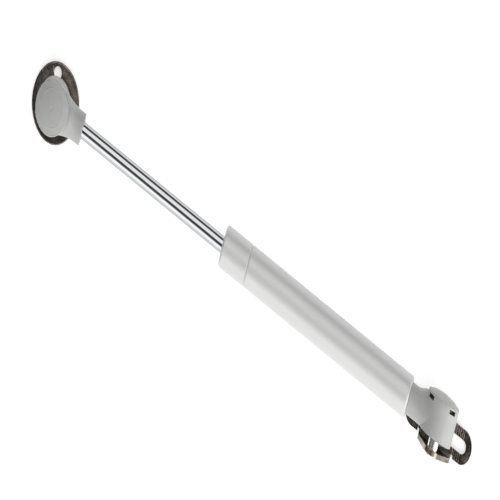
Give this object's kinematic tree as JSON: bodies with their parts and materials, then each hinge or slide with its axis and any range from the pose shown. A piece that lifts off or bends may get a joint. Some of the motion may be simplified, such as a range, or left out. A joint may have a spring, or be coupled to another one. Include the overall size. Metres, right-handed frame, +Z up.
{
  "type": "gas strut stay",
  "caption": "Slim gas strut with moulded ball sockets, a round screw-on wall plate at the rod end and a slotted L-shaped door bracket at the tube end.",
  "frame": {"origin": "centre of the round wall plate's back face, which is the plane that both mounting plates lie on", "axes": "+X along the strut from the rod end to the tube end, +Z up from the mounting plane through the wall plate's pin; the tube end's pin runs along Y with its cap towards +Y"},
  "size_m": [0.2792, 0.0274, 0.0219],
  "materials": {
    "nickel_plate": "satin nickel plate over pressed steel",
    "bright_nickel": "polished nickel",
    "grey_plastic": "fine-grained moulded nylon",
    "cap_plastic": "fine-grained moulded nylon, a shade lighter",
    "hard_chrome": "ground and hard-chromed",
    "silver_paint": "satin silver enamel",
    "zinc": "zinc-plated steel",
    "bush_bronze": "sintered bronze",
    "seal_rubber": "black nitrile rubber"
  },
  "bodies": {
    "tube": {"casing_tube": "silver_paint", "front_washer": "zinc", "rod_guide": "bush_bronze", "rod_seal": "seal_rubber", "seal_support_ring": "zinc", "end_plug": "zinc", "plug_o_ring": "seal_rubber", "tube_socket": "grey_plastic", "tube_socket_cap": "cap_plastic"},
    "ring": {"piston_ring": "seal_rubber"},
    "rod": {"piston_rod": "hard_chrome", "piston_washer": "zinc", "piston": "zinc", "rod_socket": "grey_plastic", "rod_socket_cap": "cap_plastic"},
    "rod_ball": {"wall_plate_ball": "bright_nickel"},
    "plate": {"wall_plate": "nickel_plate", "wall_plate_pin": "bright_nickel"},
    "tube_ball": {"door_bracket_ball": "bright_nickel"},
    "bracket": {"door_bracket": "nickel_plate", "door_bracket_pin": "bright_nickel"}
  },
  "joints": [
    {"name": "rod_slide", "type": "slide", "parent": "tube", "child": "ring", "axis": [1, 0, 0], "range_m": [0, 0.089], "stiffness_N_per_m": 200, "springref_m": -0.25},
    {"name": "rod_turn", "type": "hinge", "parent": "ring", "child": "rod", "pos_m": [0.05, 0, 0.012], "axis": [1, 0, 0], "continuous": true},
    {"name": "rod_ball_tilt", "type": "hinge", "parent": "rod", "child": "rod_ball", "pos_m": [0, 0, 0.012], "axis": [0, 1, 0], "range_deg": [-15, 15]},
    {"name": "plate_swing", "type": "hinge", "parent": "rod_ball", "child": "plate", "pos_m": [0, 0, 0.012], "axis": [0, 0, 1], "continuous": true},
    {"name": "tube_ball_tilt", "type": "hinge", "parent": "tube", "child": "tube_ball", "pos_m": [0.245, 0, 0.012], "axis": [0, 0, 1], "range_deg": [-15, 15]},
    {"name": "bracket_swing", "type": "hinge", "parent": "tube_ball", "child": "bracket", "pos_m": [0.245, 0, 0.012], "axis": [0, -1, 0], "range_deg": [-5, 185]}
  ]
}
